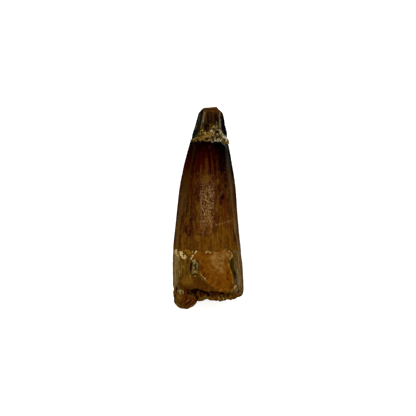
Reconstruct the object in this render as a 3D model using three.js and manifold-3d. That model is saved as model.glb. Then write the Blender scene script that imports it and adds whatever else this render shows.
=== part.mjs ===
// Fossil spinosaurus tooth, mended near its tip: the crown with the root it grew with, the tip that
// snapped off it, and the sandy crust that holds the tip on. Millimetres. The tooth lies on its flatter
// side: +X across it, +Y towards the tip, +Z up, with the origin under the middle of the whole.

import * as THREE from "three";
import { mergeVertices } from "three/addons/utils/BufferGeometryUtils.js";
import { ImprovedNoise } from "three/addons/math/ImprovedNoise.js";
import Module from "manifold-3d";

const wasm = await Module();
wasm.setup();

const { clamp, degToRad, lerp, smoothstep } = THREE.MathUtils;
const noise = new ImprovedNoise();

// ---- Driving dimensions. Heights run along the tooth, from the end of the root's lobe.

const height = {
  rootEnd: 3.2, // the ragged end of the root
  seam: 5.2, // the row of pits that runs round just above it
  enamelEdge: 19.5, // the enamel ends and the root begins
  breakFace: 55.4, // the tip snapped off the crown here
  tipFace: 56.9, // the tip's own broken face
  tipEnd: 66.45, // the tip's blunt end
};
const fit = 0.3; // clearance between pieces that touch
const bedding = 0.25; // how far the underside is worn flat where it rests
const archRise = 0.9; // the tooth bows up between its two ends

// Half width and half depth of the tooth, and how far its middle drifts to +X, at heights along it.
const halfWidthAt = through([
  [0, 11.35],
  [10, 11.7],
  [16, 11.45],
  [20, 10.95],
  [30, 9.92],
  [40, 8.95],
  [50, 7.1],
  [56, 6.1],
  [62, 4.8],
  [68, 3.1],
]);
const halfDepthAt = through([
  [0, 9.8],
  [10, 10.1],
  [20, 9.65],
  [30, 8.9],
  [40, 7.9],
  [50, 6.65],
  [56, 5.7],
  [62, 4.5],
  [68, 3.0],
]);
const driftAt = through([
  [0, 0.2],
  [10, 0],
  [20, -0.33],
  [30, -0.35],
  [45, 0.02],
  [50, 0.15],
  [56, 0.55],
  [68, 0.75],
]);

// A smooth curve through [height, value] pairs, as a function of height.
function through(points) {
  const slopes = points.map((_, i) => {
    const [y0, v0] = points[Math.max(i - 1, 0)];
    const [y1, v1] = points[Math.min(i + 1, points.length - 1)];
    return (v1 - v0) / (y1 - y0);
  });
  return (y) => {
    const next = points.findIndex(([py]) => py > y);
    const i = clamp((next < 0 ? points.length : next) - 1, 0, points.length - 2);
    const [y0, v0] = points[i];
    const [y1, v1] = points[i + 1];
    const span = y1 - y0;
    const t = (y - y0) / span;
    const start = v0 * (1 + 2 * t) * (1 - t) ** 2 + slopes[i] * span * t * (1 - t) ** 2;
    const end = v1 * t * t * (3 - 2 * t) - slopes[i + 1] * span * t * t * (1 - t);
    return start + end;
  };
}

// The oval section of the whole tooth at a height.
function section(y) {
  const halfDepth = halfDepthAt(y);
  const archStart = 11;
  const archEnd = height.tipEnd - 4;
  const along = clamp((y - archStart) / (archEnd - archStart), 0, 1);
  const rise = archRise * Math.sin(Math.PI * along) ** 2;
  return { halfWidth: halfWidthAt(y), halfDepth, x: driftAt(y), z: rise + halfDepth - bedding };
}

// A point on the surface. `turn` goes round the tooth from straight up towards +X, and `grow` is how far
// the surface stands out from the plain oval. Nothing goes below the ground.
function surfacePoint(turn, y, grow) {
  const s = section(y);
  const x = s.x + (s.halfWidth + grow) * Math.sin(turn);
  const z = s.z + (s.halfDepth + grow) * Math.cos(turn);
  return new THREE.Vector3(x, y, Math.max(z, 0));
}

// Angles round the tooth, closer together on the upper face.
function turnsAround(count) {
  const crowding = 0.3;
  return Array.from({ length: count }, (_, i) => {
    const even = (i / count) * 2 * Math.PI - Math.PI;
    return even - crowding * Math.sin(even);
  });
}

const isUpper = (turn) => smoothstep(Math.cos(turn), 0, 0.3);
const bell = (value, middle, width) => Math.exp(-(((value - middle) / width) ** 2));
const oval = (x, y, spot) => Math.exp(-(((x - spot.x) / spot.wide) ** 2) - ((y - spot.y) / spot.high) ** 2);

// Distance from a point to a run of straight lines.
function distanceTo(line, x, y) {
  return Math.min(
    ...line.slice(1).map(([x1, y1], i) => {
      const [x0, y0] = line[i];
      const share = ((x - x0) * (x1 - x0) + (y - y0) * (y1 - y0)) / ((x1 - x0) ** 2 + (y1 - y0) ** 2);
      const t = clamp(share, 0, 1);
      return Math.hypot(x - lerp(x0, x1, t), y - lerp(y0, y1, t));
    }),
  );
}

// Distance inside a closed outline, negative outside it.
function depthInside(outline, x, y) {
  let inside = false;
  outline.forEach(([x0, y0], i) => {
    const [x1, y1] = outline[(i + 1) % outline.length];
    if (y0 > y !== y1 > y && x < x0 + ((y - y0) / (y1 - y0)) * (x1 - x0)) inside = !inside;
  });
  const distance = distanceTo([...outline, outline[0]], x, y);
  return inside ? distance : -distance;
}

// ---- Solids

// A closed surface over loops of points, from a single first point to a single last one.
function skin(first, loops, last) {
  const around = loops[0].length;
  const points = [first, ...loops.flat(), last];
  const faces = [];
  const at = (loop, i) => 1 + loop * around + (i % around);
  for (let i = 0; i < around; i++) {
    faces.push(0, at(0, i + 1), at(0, i));
    faces.push(points.length - 1, at(loops.length - 1, i), at(loops.length - 1, i + 1));
    for (let j = 0; j + 1 < loops.length; j++) {
      faces.push(at(j, i), at(j + 1, i + 1), at(j + 1, i));
      faces.push(at(j, i), at(j, i + 1), at(j + 1, i + 1));
    }
  }
  return new THREE.BufferGeometry().setFromPoints(points).setIndex(faces);
}

function solidOf(geometry) {
  const bare = geometry.clone();
  bare.deleteAttribute("normal");
  bare.deleteAttribute("uv");
  const merged = mergeVertices(bare, 1e-4);
  const vertProperties = new Float32Array(merged.attributes.position.array);
  const triVerts = new Uint32Array(merged.index.array);
  return new wasm.Manifold(new wasm.Mesh({ numProp: 3, vertProperties, triVerts }));
}

// The largest of a solid's separate bodies.
function mainBody(solid) {
  return solid.decompose().reduce((a, b) => (b.volume() > a.volume() ? b : a));
}

function meshOf(name, solid, material) {
  const { vertProperties, triVerts } = solid.getMesh();
  const geometry = new THREE.BufferGeometry()
    .setAttribute("position", new THREE.BufferAttribute(vertProperties, 3))
    .setIndex(new THREE.BufferAttribute(triVerts, 1));
  geometry.computeVertexNormals();
  const mesh = new THREE.Mesh(geometry, material);
  mesh.name = name;
  return mesh;
}

// Loops that close an end: the given loop drawn in to `middle` in steps, each point set at faceHeight.
function endCap(rim, middle, steps, faceHeight) {
  return steps.map((share) =>
    rim.map((p) => {
      const x = lerp(middle.x, p.x, share);
      const z = lerp(middle.z, p.z, share);
      return new THREE.Vector3(x, faceHeight(x, z), z);
    }),
  );
}

function middleOf(y, faceHeight) {
  const s = section(y);
  return new THREE.Vector3(s.x, faceHeight(s.x, s.z), s.z);
}

// A rough lump, used both to add to a piece and to cut pits in it.
function lump({ x, y, z, wide, high, deep, rough = 0.2, detail = 2 }) {
  const ball = new THREE.IcosahedronGeometry(1, detail);
  const place = ball.attributes.position;
  const p = new THREE.Vector3();
  for (let i = 0; i < place.count; i++) {
    p.fromBufferAttribute(place, i);
    p.multiplyScalar(1 + rough * noise.noise(p.x * 1.6 + x, p.y * 1.6 + y, p.z * 1.6));
    place.setXYZ(i, p.x * wide, p.y * high, p.z * deep);
  }
  ball.translate(x, y, z);
  return solidOf(ball);
}

// ---- The crown with its root

// Low forms on the root's upper face, placed across the tooth and along it.
const rootSlab = {
  // what is left of the root's outer layer
  rise: 0.34,
  outline: [
    [-5.1, 19.4],
    [-5.3, 16.4],
    [-3.8, 15.5],
    [-3.1, 11.0],
    [-0.5, 9.4],
    [1.9, 6.1],
    [7.4, 5.6],
    [8.6, 7.1],
    [7.9, 12.0],
    [7.1, 15.3],
    [7.9, 17.3],
    [7.2, 19.8],
  ],
};
const sideChannel = {
  depth: 0.4,
  width: 1.1,
  line: [
    [8.2, 16.4],
    [8.6, 13.0],
    [9.5, 9.0],
  ],
};
const flakeHollow = { x: -4.3, y: 13.2, wide: 1.3, high: 2.3, depth: 1.0 };
const crustKnobs = [
  { x: -7.6, y: 17.7, wide: 1.7, high: 1.2, rise: 0.45 },
  { x: -10.1, y: 17.9, wide: 0.8, high: 1.3, rise: 0.35 },
  { x: -4.6, y: 18.2, wide: 0.7, high: 1.0, rise: 0.3 },
];
// Pits of the seam: across and along the tooth, with their half sizes.
const seamPits = [
  { x: -6.4, y: 5.6, wide: 0.6, high: 0.5 },
  { x: -4.6, y: 5.6, wide: 1.15, high: 1.0 },
  { x: -3.5, y: 4.0, wide: 0.6, high: 0.8 },
  { x: -1.7, y: 5.9, wide: 1.4, high: 0.5 },
  { x: 0.2, y: 4.9, wide: 0.85, high: 0.85 },
  { x: 1.8, y: 5.1, wide: 0.9, high: 0.45 },
  { x: 4.2, y: 5.0, wide: 1.3, high: 0.6 },
  { x: 6.4, y: 4.8, wide: 0.9, high: 0.35 },
];
// Lumps of crust left standing on the rim below the seam.
const rimLumps = [
  { x: -2.1, y: 4.1, wide: 1.0, high: 0.9 },
  { x: 2.7, y: 3.9, wide: 0.8, high: 0.8 },
  { x: 3.9, y: 3.7, wide: 0.9, high: 0.7 },
  { x: 7.3, y: 3.9, wide: 1.2, high: 0.6 },
];
const lobe = { x: -7.35, y: 4.7, z: 10.4, wide: 4.1, high: 4.6, deep: 6.4, rough: 0.1, detail: 4 };
const pulpHollow = { x: 1.0, wide: 4.6, deep: 3.2, depth: 1.6 };
const shoulderChip = { x: 6.3, y: 53.6, wide: 1.5, high: 2.4, depth: 0.4 };

// The root's broken end: ragged, sunken over the pulp, and chipped away at its +X corner.
function rootFace(x, z) {
  const ragged = 0.4 * noise.noise(x * 0.35 + 3.1, z * 0.35, 1.7) + 0.2 * noise.noise(x * 0.7, z * 0.7, 4.2);
  const corner = 0.06 * Math.max(0, x - 3) + 0.36 * Math.max(0, x - 7.8);
  const middle = section(height.rootEnd).z;
  const sunken = pulpHollow.depth * bell(x, pulpHollow.x, pulpHollow.wide) * bell(z, middle, pulpHollow.deep);
  return height.rootEnd + ragged + corner + sunken;
}

// The crown's broken face, lower at its +X side.
function breakFace(x, z) {
  const ragged = 0.22 * noise.noise(x * 0.8, z * 0.8, 9.3);
  return height.breakFace + ragged - 0.9 * smoothstep(x, 3.2, 6.6);
}

// How far the crown and root stand out from the plain oval.
function toothRelief(turn, y) {
  const plain = surfacePoint(turn, y, 0);
  const upper = isUpper(turn);
  const x = plain.x;
  const edge = height.enamelEdge + 0.5 * noise.noise(x * 0.55, turn, 2.5);
  const enamel = smoothstep(y, edge - 0.45, edge + 0.45);
  const keel = 0.28 * (bell(turn, degToRad(74), 0.09) + bell(turn, degToRad(-80), 0.09));
  const flutes = 0.05 * Math.cos(turn * 16) * smoothstep(y, 24, 46);
  const swell = 0.14 * noise.noise(x * 0.16, y * 0.12, plain.z * 0.16);
  const slab = rootSlab.rise * smoothstep(depthInside(rootSlab.outline, x, y), -0.35, 0.35);
  const channel = sideChannel.depth * bell(distanceTo(sideChannel.line, x, y), 0, sideChannel.width);
  const hollow = flakeHollow.depth * oval(x, y, flakeHollow);
  const crust = crustKnobs.reduce((sum, knob) => sum + knob.rise * oval(x, y, knob), 0);
  const seam = height.seam - 0.04 * x + 0.2 * Math.max(0, -7 - x);
  const groove = 0.4 * bell(y, seam, 0.6);
  const rim = 0.3 * smoothstep(height.seam - y, 0, 0.8);
  const chip = shoulderChip.depth * oval(x, y, shoulderChip);
  const root = (1 - enamel) * (upper * (slab - channel - hollow) - groove - rim);
  return enamel * (0.2 + keel + flutes) + swell + root + upper * (crust - chip);
}

function toothSolid() {
  const turns = turnsAround(54);
  const rimAt = (y, face) =>
    turns.map((turn) => {
      const p = surfacePoint(turn, y, toothRelief(turn, y));
      return p.setY(face(p.x, p.z));
    });
  const rootRim = rimAt(height.rootEnd, rootFace);
  const breakRim = rimAt(height.breakFace, breakFace);
  // Rows stand closer together on the root, which has the detail, than on the crown.
  const rows = 36;
  const levels = Array.from({ length: rows + 1 }, (_, j) => (j / rows) ** 1.75);
  const wear = 0.3;
  const side = levels.map((level) =>
    turns.map((turn, i) => {
      const y = lerp(rootRim[i].y, breakRim[i].y, level);
      const worn = wear * (1 - smoothstep(y - rootRim[i].y, 0, 1)) ** 2;
      return surfacePoint(turn, y, toothRelief(turn, y) - worn);
    }),
  );
  const shares = [0.35, 0.65, 0.86];
  const rootMiddle = middleOf(height.rootEnd, rootFace);
  const breakMiddle = middleOf(height.breakFace, breakFace);
  const rootCap = endCap(side[0], rootMiddle, shares, rootFace);
  const breakCap = endCap(side[rows], breakMiddle, shares, breakFace).reverse();
  const body = solidOf(skin(rootMiddle, [...rootCap, ...side, ...breakCap], breakMiddle));
  const knobs = rimLumps.map((knob) => lump({ ...knob, z: topAt(knob.x, knob.y) - 0.8, deep: 1.1, rough: 0.3 }));
  const pits = seamPits.map((pit) => lump({ ...pit, z: topAt(pit.x, pit.y) - 0.35, deep: 1.5, rough: 0.5 }));
  const whole = [lump(lobe), ...knobs].reduce((solid, part) => solid.add(part), body);
  return pits.reduce((solid, pit) => solid.subtract(pit), whole);
}

// The level of the plain oval's upper face.
function topAt(x, y) {
  const s = section(y);
  return s.z + s.halfDepth * Math.sqrt(1 - ((x - s.x) / s.halfWidth) ** 2);
}

// ---- The tip

// Where the enamel has flaked off the tip's upper face, from its left edge to its right edge.
const flake = {
  depth: { end: 0.5, foot: 0.95 },
  left: (y) => -1.5 - 0.22 * (65.7 - y) - 0.9 * Math.max(0, 59.1 - y),
  right: (y) => 4.4 + 0.25 * Math.max(0, 60.3 - y) ** 1.8,
};
// The flat breaks at the tip's end: a point on each, from the middle of the end, and its outward direction.
const endBreaks = [
  { at: [0, 0, 0], facing: [-0.02, 0.985, 0.17] },
  { at: [3.5, -1.15, 0], facing: [0.62, 0.72, 0.3] },
  { at: [-2.92, -0.6, 0], facing: [-0.62, 0.78, 0.1] },
];

function tipRelief(turn, y) {
  const plain = surfacePoint(turn, y, 0);
  const x = plain.x;
  const seat = -0.12;
  const depth = lerp(flake.depth.foot, flake.depth.end, (y - height.tipFace) / (height.tipEnd - height.tipFace));
  const across = smoothstep(x, flake.left(y), flake.left(y) + 0.4) * smoothstep(flake.right(y) - x, 0, 0.4);
  const flaked = across * smoothstep(Math.cos(turn), -0.25, 0.1);
  const fluting = 0.12 * noise.noise(x * 1.5, y * 0.2, 6.1) * flaked;
  const ribs = 0.05 * Math.cos(turn * 14) * (1 - flaked);
  return seat + ribs + fluting - depth * flaked;
}

// The tip, or with `grow` above 0 the room that it takes up in the crust.
function tipSolid(grow) {
  const turns = turnsAround(40);
  const rows = 13;
  const top = height.tipEnd + 1.5;
  const side = Array.from({ length: rows + 1 }, (_, j) => {
    const y = lerp(height.tipFace, top, j / rows);
    const drop = j === 0 ? grow : 0;
    return turns.map((turn) => surfacePoint(turn, y, tipRelief(turn, y) + grow).setY(y - drop));
  });
  const foot = middleOf(height.tipFace, () => height.tipFace - grow);
  const footCap = endCap(side[0], foot, [0.5], () => foot.y);
  const body = solidOf(skin(foot, [...footCap, ...side], middleOf(top, () => top)));
  const end = section(height.tipEnd);
  return endBreaks.reduce((solid, { at, facing }) => {
    const out = new THREE.Vector3(...facing).normalize();
    const size = 30;
    const block = new THREE.BoxGeometry(size, size, size).translate(0, 0, size / 2 + grow);
    block.applyQuaternion(new THREE.Quaternion().setFromUnitVectors(new THREE.Vector3(0, 0, 1), out));
    block.translate(end.x + at[0], height.tipEnd + at[1], end.z + at[2]);
    return solid.subtract(solidOf(block));
  }, body);
}

// ---- The sandy crust in the break

const crust = {
  backEdge: 56.4, // its upper edge round the back
  lump: 0.26,
};
// How much higher its edge reaches on the upper face, from one side to the other.
const apronAt = through([
  [-6.2, 0],
  [-4.9, 0.1],
  [-3.5, 1.9],
  [-2.3, 2.9],
  [0, 3.1],
  [2.4, 4.1],
  [4.3, 3.4],
  [6.0, 0.7],
  [7.4, 0.2],
]);
const crustHole = { x: -0.5, y: 59.6, wide: 0.75, high: 0.85, deep: 1.2 };
const sideBlob = { turn: degToRad(78), spread: 0.5, rise: 0.3 };

function crustEdge(turn) {
  const { x } = surfacePoint(turn, height.tipFace, 0);
  const reach = apronAt(x) * (1 + 0.25 * noise.noise(x * 1.9, turn, 0.4));
  return crust.backEdge + reach * smoothstep(Math.cos(turn), -0.15, 0.3);
}

function crustRelief(turn, y) {
  const p = surfacePoint(turn, y, 0);
  const grains = crust.lump * noise.noise(p.x * 1.1, y * 1.3, p.z * 1.1);
  const feather = 0.5 * smoothstep(y, crustEdge(turn) - 1.2, crustEdge(turn));
  const blob = sideBlob.rise * bell(turn, sideBlob.turn, sideBlob.spread);
  return 0.12 + blob + grains - feather;
}

function crustSolid() {
  const turns = turnsAround(48);
  const bed = (x, z) => breakFace(x, z) + fit;
  const rim = turns.map((turn) => {
    const p = surfacePoint(turn, height.breakFace, toothRelief(turn, height.breakFace));
    return p.setY(bed(p.x, p.z));
  });
  const rows = 6;
  const side = Array.from({ length: rows + 1 }, (_, j) =>
    turns.map((turn, i) => {
      const y = lerp(rim[i].y, crustEdge(turn), j / rows);
      return surfacePoint(turn, y, crustRelief(turn, y));
    }),
  );
  const topLevel = height.tipFace + 1;
  const middle = middleOf(topLevel, () => topLevel);
  const bedMiddle = middleOf(height.breakFace, bed);
  const bedCap = endCap(rim, bedMiddle, [0.35, 0.7, 1], bed);
  const topCap = [0.75, 0.4].map((share) => side[rows].map((p) => p.clone().lerp(middle, 1 - share)));
  const body = solidOf(skin(bedMiddle, [...bedCap, ...side.slice(1), ...topCap], middle));
  const hole = lump({ ...crustHole, z: topAt(crustHole.x, crustHole.y) - 0.2, rough: 0.5 });
  return mainBody(body.subtract(tipSolid(fit)).subtract(hole));
}

// ---- The whole

const enamelBrown = new THREE.MeshStandardMaterial({ color: 0x5a3310, roughness: 0.32, metalness: 0 });
const dentineBrown = new THREE.MeshStandardMaterial({ color: 0x402410, roughness: 0.5, metalness: 0 });
const sandYellow = new THREE.MeshStandardMaterial({ color: 0x8e7038, roughness: 0.95, metalness: 0 });

const fossil = new THREE.Group();
fossil.add(
  meshOf("tooth", toothSolid(), enamelBrown),
  meshOf("tip", tipSolid(0), dentineBrown),
  meshOf("sand_band", crustSolid(), sandYellow),
);

const box = new THREE.Box3().setFromObject(fossil);
const centre = box.getCenter(new THREE.Vector3());
fossil.position.set(-centre.x, -centre.y, -box.min.z);

export default fossil;
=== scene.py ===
import bpy
import numpy as np
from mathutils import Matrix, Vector, noise


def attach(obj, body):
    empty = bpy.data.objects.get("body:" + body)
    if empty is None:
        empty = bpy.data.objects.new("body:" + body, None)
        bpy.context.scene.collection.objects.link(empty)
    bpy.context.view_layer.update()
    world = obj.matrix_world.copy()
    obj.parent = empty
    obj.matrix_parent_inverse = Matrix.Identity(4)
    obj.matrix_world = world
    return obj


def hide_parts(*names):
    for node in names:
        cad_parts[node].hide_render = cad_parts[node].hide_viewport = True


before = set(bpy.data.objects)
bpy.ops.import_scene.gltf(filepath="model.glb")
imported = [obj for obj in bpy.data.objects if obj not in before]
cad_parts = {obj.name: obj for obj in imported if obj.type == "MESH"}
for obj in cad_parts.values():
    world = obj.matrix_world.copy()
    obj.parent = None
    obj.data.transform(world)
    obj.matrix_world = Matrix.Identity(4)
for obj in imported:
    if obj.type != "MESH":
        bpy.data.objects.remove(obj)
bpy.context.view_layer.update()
mm = 0.001  # everything below is in millimetres until it meets a mesh
lift = 0.14  # places along the tooth are told from this far below the middle of the whole
underLamps = 0.5  # tones are told as they look under the lamps, which is about twice as bright as the paint


# camera: straight above the tooth, its tip upward in the view

viewFrom = {"height": 771.5, "along": -0.19, "lens": 200.0, "sensor": 36, "reach": 20000}

camera = bpy.data.cameras.new("lookDown")
camera.lens = viewFrom["lens"]
camera.sensor_width = viewFrom["sensor"]
camera.clip_end = viewFrom["reach"] * mm
lookDown = bpy.data.objects.new("lookDown", camera)
lookDown.location = Vector((0, viewFrom["along"], viewFrom["height"])) * mm
bpy.context.collection.objects.link(lookDown)
bpy.context.scene.camera = lookDown
bpy.context.scene.view_settings.view_transform = "Standard"
print("camera placed")


# small tools for shaping

def pick(piece):
    bpy.ops.object.select_all(action="DESELECT")
    piece.select_set(True)
    bpy.context.view_layer.objects.active = piece


def ease(low, high, value):  # 0 at low, 1 at high, smooth between; low may be the larger
    t = np.clip((value - low) / (high - low), 0, 1)
    return t * t * (3 - 2 * t)


def follow(line, at):  # the value of a line of (place, value) points at each place
    return np.interp(at, *zip(*line))


def sideShift(line, y, across):  # how far a side moves: the whole of it at the side, nothing near the middle
    return follow(line, y) * ease(2.0, 9.0, across)


def nearLine(line, x, y):  # distance to a run of straight lines
    best = np.full(x.shape, 1e9)
    for (x0, y0), (x1, y1) in zip(line, line[1:]):
        dx, dy = x1 - x0, y1 - y0
        t = np.clip(((x - x0) * dx + (y - y0) * dy) / (dx * dx + dy * dy), 0, 1)
        best = np.minimum(best, np.hypot(x - x0 - t * dx, y - y0 - t * dy))
    return best


def insideOf(outline, x, y):  # distance inside a closed outline, negative outside
    inside = np.zeros(x.shape, bool)
    for (x0, y0), (x1, y1) in zip(outline, outline[1:] + outline[:1]):
        if y0 != y1:
            inside ^= ((y0 > y) != (y1 > y)) & (x < x0 + (y - y0) / (y1 - y0) * (x1 - x0))
    return np.where(inside, 1, -1) * nearLine(outline + outline[:1], x, y)


def ovalFrom(spot, x, y):  # rough distance inside an oval (x, y, half width, half height)
    sx, sy, wide, high = spot
    return (1 - np.hypot((x - sx) / wide, (y - sy) / high)) * min(wide, high)


def swell(x, y, z, size, seed=0.0):  # smooth random swell, -1 to 1, its lumps about size across
    return np.array([noise.noise(Vector(p)) for p in zip(x / size + seed, y / size, z / size)])


def bodyOf(node, name, settings):  # a fine, even copy of a solid
    piece = bpy.data.objects.new(name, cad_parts[node].data.copy())
    bpy.context.collection.objects.link(piece)
    pick(piece)
    bpy.ops.mesh.customdata_custom_splitnormals_clear()
    bpy.ops.object.mode_set(mode="EDIT")
    bpy.ops.mesh.select_all(action="SELECT")
    bpy.ops.mesh.remove_doubles(threshold=1e-6)
    bpy.ops.object.mode_set(mode="OBJECT")
    piece.data.materials.clear()
    even = piece.modifiers.new("even", "REMESH")
    even.mode = "VOXEL"
    even.voxel_size = settings["voxel"] * mm
    even.use_smooth_shade = True
    calm = piece.modifiers.new("calm", "SMOOTH")
    calm.factor = 0.5
    calm.iterations = settings["calm"]
    for step in list(piece.modifiers):
        bpy.ops.object.modifier_apply(modifier=step.name)
    return piece


def pointsOf(piece):  # places in millimetres, and the normals
    count = len(piece.data.vertices)
    places, normals = np.zeros(count * 3, np.float32), np.zeros(count * 3, np.float32)
    piece.data.vertices.foreach_get("co", places)
    piece.data.vertices.foreach_get("normal", normals)
    return places.reshape(-1, 3).astype(float) / mm + [0, lift, 0], normals.reshape(-1, 3).astype(float)


def raisePoints(piece, places, normals, heights):  # along the normals; nothing goes below the ground
    moved = places + normals * heights[:, None] - [0, lift, 0]
    moved[:, 2] = np.maximum(moved[:, 2], 0)
    piece.data.vertices.foreach_set("co", (moved * mm).astype(np.float32).ravel())
    piece.data.update()


def keepFields(piece, **fields):  # numbers or vectors at each point, for the paint to read
    for name, values in fields.items():
        kind, key = ("FLOAT", "value") if values.ndim == 1 else ("FLOAT_VECTOR", "vector")
        made = piece.data.attributes.new(name, kind, "POINT")
        made.data.foreach_set(key, values.astype(np.float32).ravel())


def flowOf(places, levels=60):  # across and through run from -10 to 10 over the local width and depth
    x, y, z = places.T
    marks = np.linspace(y.min(), y.max(), levels)
    spans = []
    for mark in marks:
        near = abs(y - mark) < 1.0
        spans.append([x[near].min(), x[near].max(), z[near].min(), z[near].max()])
    spread = np.hanning(9) / np.hanning(9).sum()  # each span is averaged with its neighbours
    left, right, low, high = (np.convolve(np.pad(s, 4, "edge"), spread, "valid") for s in np.array(spans).T)
    halfWide = np.interp(y, marks, (right - left) / 2)
    halfDeep = np.interp(y, marks, (high - low) / 2)
    across = (x - np.interp(y, marks, (left + right) / 2)) / halfWide * 10
    through = (z - np.interp(y, marks, (low + high) / 2)) / halfDeep * 10
    return np.column_stack([across, y, through])


def nearestRun(runs, x, y):  # how far inside the nearest run, and that run's own rise or depth
    inside, amount = np.full(x.shape, -9.0), np.zeros(x.shape)
    for halfWidth, rise, *run in runs:
        here = halfWidth * 0.86 - nearLine(run, x, y)  # a little thinner, because the paint's edge spreads
        amount = np.where(here > inside, rise, amount)
        inside = np.maximum(inside, here)
    return inside, amount


def softMarks(marks, x, y):  # how strongly the nearest of some soft-edged runs and spots shows, 0 to 1
    strength = np.zeros(x.shape)
    for mark in marks:
        if isinstance(mark[-1], tuple):
            halfWidth, share, *run = mark
            here = ease(-0.2, 0.2, halfWidth - nearLine(run, x, y))
        else:
            spotX, spotY, wide, high, share = mark
            here = ease(1.35, 0.6, np.hypot((x - spotX) / wide, (y - spotY) / high))
        strength = np.maximum(strength, share * here)
    return strength


def keepMarks(piece, marks, names, x, y, front):  # soft marks, on the upper face alone
    for name in names:
        keepFields(piece, **{name: softMarks(marks[name], x, y) * front})


def stripe(line, x, y):  # how far inside a stripe that runs along the tooth
    along, middle, half = zip(*line)
    return np.interp(y, along, half) - abs(x - np.interp(y, along, middle))


# small tools for paint

def tint(code):  # "#rrggbb" to the colour that the shader wants
    values = [int(code[i:i + 2], 16) / 255 for i in (1, 3, 5)]
    return (*(v / 12.92 if v <= 0.04045 else ((v + 0.055) / 1.055) ** 2.4 for v in values), 1.0)


class Wire:  # a socket that can be used in sums
    def __init__(self, board, socket):
        self.board, self.socket = board, socket

    def sum(self, operation, *values):
        return self.board.node("Math", {"operation": operation}, dict(enumerate(values)))

    def __add__(self, other): return self.sum("ADD", self, other)
    def __radd__(self, other): return self.sum("ADD", other, self)
    def __sub__(self, other): return self.sum("SUBTRACT", self, other)
    def __rsub__(self, other): return self.sum("SUBTRACT", other, self)
    def __mul__(self, other): return self.sum("MULTIPLY", self, other)
    def __pow__(self, other): return self.sum("POWER", self, other)
    def __abs__(self): return self.sum("ABSOLUTE", self)

    def most(self, other):
        return self.sum("MAXIMUM", self, other)

    def lay(self, share, over):  # another colour over this one
        self.socket = self.board.mix(share, self, over).socket

    def ease(self, low, high):  # 0 at low, 1 at high, smooth between; low may be the larger
        first, last = (0.0, 1.0) if low < high else (1.0, 0.0)
        ends = {"From Min": min(low, high), "From Max": max(low, high), "To Min": first, "To Max": last}
        return self.board.node("MapRange", {"interpolation_type": "SMOOTHSTEP"}, {"Value": self, **ends})


class Board:  # one material and the nodes on it
    def __init__(self, name):
        self.material = bpy.data.materials.new(name)
        self.material.use_nodes = True
        self.tree = self.material.node_tree
        self.tree.nodes.clear()
        ownPlace = self.node("TexCoord", out="Object")
        toUnits = {"Vector": ownPlace, "Scale": (1 / mm,) * 3, "Location": (0, lift, 0)}
        self.place = self.node("Mapping", inputs=toUnits)  # in millimetres
        self.x, self.y = self.parts(self.place)[:2]

    def node(self, kind, settings={}, inputs={}, out=0):  # a colour may be given as "#rrggbb"
        made = self.tree.nodes.new("ShaderNode" + kind)
        for key, value in settings.items():
            if key == "stops":
                stops = made.color_ramp.elements
                stops[0].position, stops[0].color = value[0]
                stops[-1].position, stops[-1].color = value[-1]
                for at, colour in value[1:-1]:
                    stops.new(at).color = colour
            else:
                setattr(made, key, value)
        for key, value in inputs.items():
            if isinstance(value, Wire):
                self.tree.links.new(value.socket, made.inputs[key])
            else:
                made.inputs[key].default_value = tint(value) if isinstance(value, str) else value
        return Wire(self, made.outputs[out])

    def parts(self, vector):
        split = self.node("SeparateXYZ", inputs={0: vector}).socket.node
        return [Wire(self, split.outputs[i]) for i in range(3)]

    def field(self, name, vector=False):
        return self.node("Attribute", {"attribute_name": name}, out="Vector" if vector else "Fac")

    def grain(self, where, size, stretch=(1, 1, 1), detail=2.0, rough=0.55, shift=0.0):  # mostly -1 to 1
        scale = tuple(s / size for s in stretch)
        moved = {"Vector": where, "Scale": scale, "Location": (shift, shift * 0.7, shift * 1.3)}
        at = self.node("Mapping", inputs=moved)
        noisy = {"Vector": at, "Scale": 1.0, "Detail": detail, "Roughness": rough}
        return self.node("TexNoise", inputs=noisy) * 5.0 - 2.5

    def mix(self, share, first, second):
        return self.node("Mix", {"data_type": "RGBA"}, {0: share, 6: first, 7: second}, out=2)

    def dim(self, colour, share):  # the same colour, brighter or darker
        return self.node("VectorMath", {"operation": "SCALE"}, {0: colour, "Scale": share})

    def spot(self, x, y, wide, high):  # distance from the middle of a spot, 1 at its edge
        dx = (self.x - x) * (1 / wide)
        dy = (self.y - y) * (1 / high)
        return (dx * dx + dy * dy) ** 0.5

    def ramp(self, value, stops):  # colours at values, blended between
        low, high = stops[0][0], stops[-1][0]
        share = self.node("MapRange", inputs={"Value": value, "From Min": low, "From Max": high})
        made = [((at - low) / (high - low), tint(colour)) for at, colour in stops]
        return self.node("ValToRGB", {"stops": made}, {0: share})

    def bump(self, height, depth):  # depth in millimetres for a height of 1
        return self.node("Bump", inputs={"Height": height, "Distance": depth * mm, "Strength": 1.0})

    def finish(self, colour, roughness, normal, polish, **gloss):  # polish: 0 dry, 1 with its full gloss
        body = {"Base Color": self.dim(colour, underLamps), "Normal": normal}
        polished = self.node("BsdfPrincipled", inputs={**body, "Roughness": roughness, **gloss})
        dry = self.node("BsdfPrincipled", inputs={**body, "Roughness": 1.0, "Specular IOR Level": 0.0})
        both = self.node("MixShader", inputs={0: 1 - polish, 1: polished, 2: dry})
        end = self.tree.nodes.new("ShaderNodeOutputMaterial")
        self.tree.links.new(both.socket, end.inputs["Surface"])
        return self.material


# the crown with its root

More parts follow.
